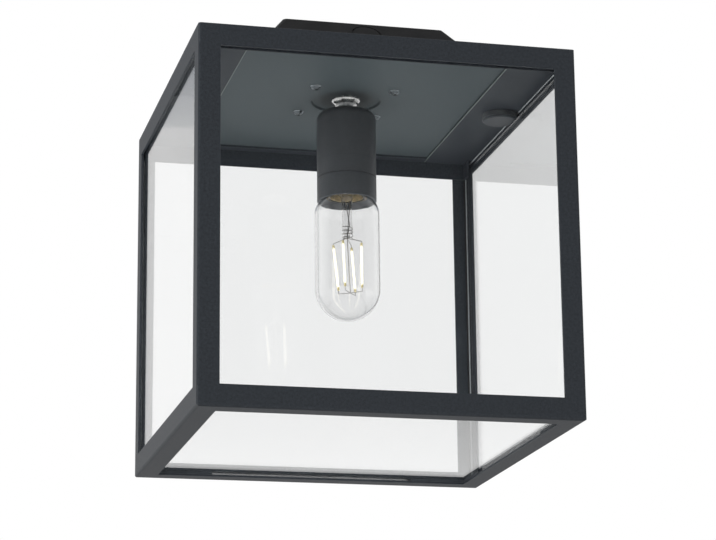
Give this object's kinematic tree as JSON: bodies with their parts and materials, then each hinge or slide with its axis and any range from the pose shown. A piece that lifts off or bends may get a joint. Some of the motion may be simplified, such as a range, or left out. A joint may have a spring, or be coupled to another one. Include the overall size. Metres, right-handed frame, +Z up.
{
  "type": "porch ceiling lantern",
  "caption": "Square glass box lantern in a black folded-metal frame, held under a sloping ceiling pan, with a clear tubular screw-in lamp on the axis.",
  "frame": {"origin": "centre of the pan's ceiling face, midway between its two fixing slots", "axes": "+Z up into the ceiling, +X right, -Y towards the front, where the knockout is"},
  "size_m": [0.25, 0.25, 0.2815],
  "materials": {
    "black_coat": "satin powder coat",
    "plate_coat": "satin grey coat",
    "zinc": "zinc plated",
    "bright_nickel": "bright nickel",
    "brass": "plain brass",
    "solder": "solder",
    "rubber": "moulded rubber",
    "white_plastic": "moulded",
    "brown_insulation": "insulation",
    "blue_insulation": "insulation",
    "green_insulation": "insulation",
    "phenolic": "moulded phenolic, satin",
    "ceramic_core": "glazed insulating core",
    "black_glass": "black glass",
    "pane_glass": "clear float glass",
    "lamp_glass": "clear blown glass",
    "filament": "glowing phosphor"
  },
  "bodies": {
    "ceiling": {"ceiling_pan": "black_coat", "cable_grommet": "rubber", "pan_pillars": "zinc", "mounting_plate": "plate_coat", "plate_screws": "zinc", "thumb_inserts": "zinc", "terminal_block": "white_plastic", "terminal_sleeves": "brass", "terminal_screws": "zinc", "block_screws": "zinc", "earth_screw": "brass", "earth_tag": "zinc", "lead_live": "brown_insulation", "lead_neutral": "blue_insulation", "lead_earth": "green_insulation", "nipple": "zinc", "nipple_nut_upper": "zinc", "nipple_nut_lower": "bright_nickel", "nipple_washer": "bright_nickel", "holder_cap": "phenolic", "holder_skirt": "phenolic", "holder_core": "ceramic_core", "holder_shell": "brass", "holder_contact": "brass", "holder_terminals": "brass", "holder_terminal_screws": "zinc"},
    "lantern_box": {"top_rail_front": "black_coat", "top_rail_right": "black_coat", "top_rail_back": "black_coat", "top_rail_left": "black_coat", "post_front_left": "black_coat", "post_front_right": "black_coat", "post_back_right": "black_coat", "post_back_left": "black_coat", "bottom_rail_front": "black_coat", "bottom_rail_right": "black_coat", "bottom_rail_back": "black_coat", "bottom_rail_left": "black_coat", "pane_front": "pane_glass", "pane_right": "pane_glass", "pane_back": "pane_glass", "pane_left": "pane_glass", "pane_floor": "pane_glass", "floor_clips": "black_coat", "top_keepers": "black_coat"},
    "thumb_screw_left": {"thumb_screw_left": "black_coat"},
    "thumb_screw_right": {"thumb_screw_right": "black_coat"},
    "lamp": {"lamp_contact": "solder", "lamp_insulator": "black_glass", "lamp_cap": "bright_nickel", "lamp_glass": "lamp_glass", "lamp_stem": "lamp_glass", "lamp_filaments": "filament", "lamp_wires": "zinc"}
  },
  "joints": [
    {"name": "box_drop", "type": "slide", "parent": "ceiling", "child": "lantern_box", "axis": [0, 0, -1], "range_m": [0, 0.18]},
    {"name": "thumb_screw_left_turn", "type": "hinge", "parent": "lantern_box", "child": "thumb_screw_left", "pos_m": [-0.1109, 0, -0.04], "axis": [0, 0, 1], "continuous": true},
    {"name": "thumb_screw_right_turn", "type": "hinge", "parent": "lantern_box", "child": "thumb_screw_right", "pos_m": [0.1109, 0, -0.04], "axis": [0, 0, 1], "continuous": true},
    {"name": "lamp_turn", "type": "hinge", "parent": "ceiling", "child": "lamp", "pos_m": [0, 0, -0.1], "axis": [0, 0, 1], "continuous": true}
  ]
}
